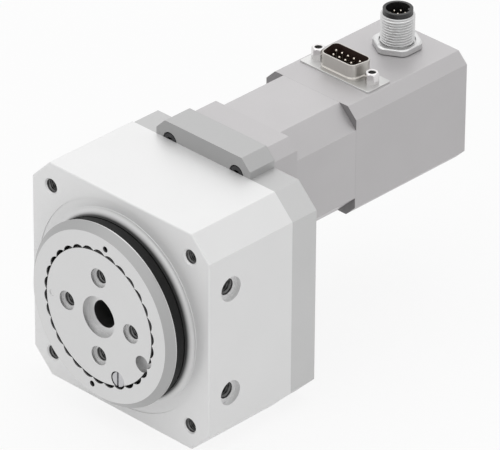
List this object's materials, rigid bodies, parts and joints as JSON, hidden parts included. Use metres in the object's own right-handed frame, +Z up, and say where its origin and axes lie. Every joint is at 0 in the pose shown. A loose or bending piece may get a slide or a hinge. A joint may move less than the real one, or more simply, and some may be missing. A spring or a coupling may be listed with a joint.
{
  "type": "rotary actuator",
  "caption": "Electric rotary actuator: flat turntable with index ring on a square housing, driven through a spur stage by a rear stepper motor with encoder and top connectors.",
  "frame": {"origin": "centre of the turntable's face, at the mouth of its pilot bore", "axes": "-Y out of the turntable along the output axis, +Y back to the motor, +Z up to the connectors"},
  "size_m": [0.083, 0.1556, 0.1027],
  "materials": {
    "anodised_aluminium": "clear anodised, fine matt",
    "motor_aluminium": "die cast and machined",
    "laminations": "ground lamination pack",
    "magnet": "nickel plated magnet",
    "copper_wire": "enamelled copper wire",
    "zinc_steel": "zinc plated",
    "blackened_steel": "black oxide",
    "bearing_steel": "ground",
    "turned_steel": "turned",
    "seal_rubber": "moulded nitrile",
    "board": "solder resist on glass laminate",
    "encoder_glass": "clear disc on a hub",
    "connector_steel": "tin plated steel",
    "dark_plastic": "moulded",
    "contact_brass": "gold flashed",
    "nickel_brass": "nickel plated"
  },
  "bodies": {
    "housing_group": {"housing": "anodised_aluminium", "adapter_plate": "anodised_aluminium", "plate_screws": "zinc_steel", "dowel_pins": "turned_steel", "motor_screws": "blackened_steel", "output_seal": "seal_rubber", "main_bearing_outer_ring": "bearing_steel", "main_bearing_retainer": "turned_steel", "rear_output_bearing_outer_ring": "bearing_steel", "rear_bearing_spring": "turned_steel", "motor_front_bell": "motor_aluminium", "stator_core": "laminations", "stator_windings": "copper_wire", "motor_front_bearing_outer_ring": "bearing_steel", "motor_rear_bearing_outer_ring": "bearing_steel", "motor_bearing_spring": "turned_steel", "tie_screws": "zinc_steel", "encoder_housing": "motor_aluminium", "rear_cover": "motor_aluminium", "cover_screws": "zinc_steel", "encoder_board": "board", "board_screws": "zinc_steel", "interface_board": "board", "dsub_shell": "connector_steel", "dsub_insulator": "dark_plastic", "dsub_pins": "contact_brass", "dsub_jackscrews": "connector_steel", "m12_seal": "seal_rubber", "m12_shell": "nickel_brass", "m12_nut": "nickel_brass", "m12_insert": "dark_plastic", "m12_pins": "contact_brass"},
    "output_group": {"output_flange": "anodised_aluminium", "index_ring": "anodised_aluminium", "lock_screw": "zinc_steel", "output_gear": "turned_steel", "gear_key": "turned_steel", "gear_nut": "turned_steel", "hub_locknut": "turned_steel", "main_bearing_inner_ring": "bearing_steel", "rear_output_bearing_inner_ring": "bearing_steel"},
    "rotor_group": {"motor_shaft": "turned_steel", "pinion": "turned_steel", "pinion_set_screw": "zinc_steel", "rotor_front_core": "laminations", "rotor_magnet": "magnet", "rotor_rear_core": "laminations", "motor_front_bearing_inner_ring": "bearing_steel", "motor_rear_bearing_inner_ring": "bearing_steel", "encoder_disc": "encoder_glass"},
    "main_bearing_balls_and_cage": {"main_bearing_balls": "bearing_steel", "main_bearing_cage": "bearing_steel"},
    "rear_output_bearing_balls_and_cage": {"rear_output_bearing_balls": "bearing_steel", "rear_output_bearing_cage": "bearing_steel"},
    "motor_front_bearing_balls_and_cage": {"motor_front_bearing_balls": "bearing_steel", "motor_front_bearing_cage": "bearing_steel"},
    "motor_rear_bearing_balls_and_cage": {"motor_rear_bearing_balls": "bearing_steel", "motor_rear_bearing_cage": "bearing_steel"}
  },
  "joints": [
    {"name": "output_spin", "type": "hinge", "parent": "housing_group", "child": "output_group", "pos_m": [0, 0, 0], "axis": [0, 1, 0], "continuous": true},
    {"name": "motor_spin", "type": "hinge", "parent": "housing_group", "child": "rotor_group", "pos_m": [0, 0.0368, 0.0255], "axis": [0, 1, 0], "continuous": true},
    {"name": "main_bearing_roll", "type": "hinge", "parent": "housing_group", "child": "main_bearing_balls_and_cage", "pos_m": [0, 0.02, 0], "axis": [0, 1, 0], "continuous": true},
    {"name": "rear_output_bearing_roll", "type": "hinge", "parent": "housing_group", "child": "rear_output_bearing_balls_and_cage", "pos_m": [0, 0.02, 0], "axis": [0, 1, 0], "continuous": true},
    {"name": "motor_front_bearing_roll", "type": "hinge", "parent": "housing_group", "child": "motor_front_bearing_balls_and_cage", "pos_m": [0, 0.02, 0.0255], "axis": [0, 1, 0], "continuous": true},
    {"name": "motor_rear_bearing_roll", "type": "hinge", "parent": "housing_group", "child": "motor_rear_bearing_balls_and_cage", "pos_m": [0, 0.02, 0.0255], "axis": [0, 1, 0], "continuous": true}
  ],
  "couplings": [
    {"joint": "motor_spin", "follows": "output_spin", "ratio": -3},
    {"joint": "main_bearing_roll", "follows": "output_spin", "ratio": 0.43137},
    {"joint": "rear_output_bearing_roll", "follows": "output_spin", "ratio": 0.43488},
    {"joint": "motor_front_bearing_roll", "follows": "output_spin", "ratio": -1.0429},
    {"joint": "motor_rear_bearing_roll", "follows": "output_spin", "ratio": -1.0429}
  ]
}
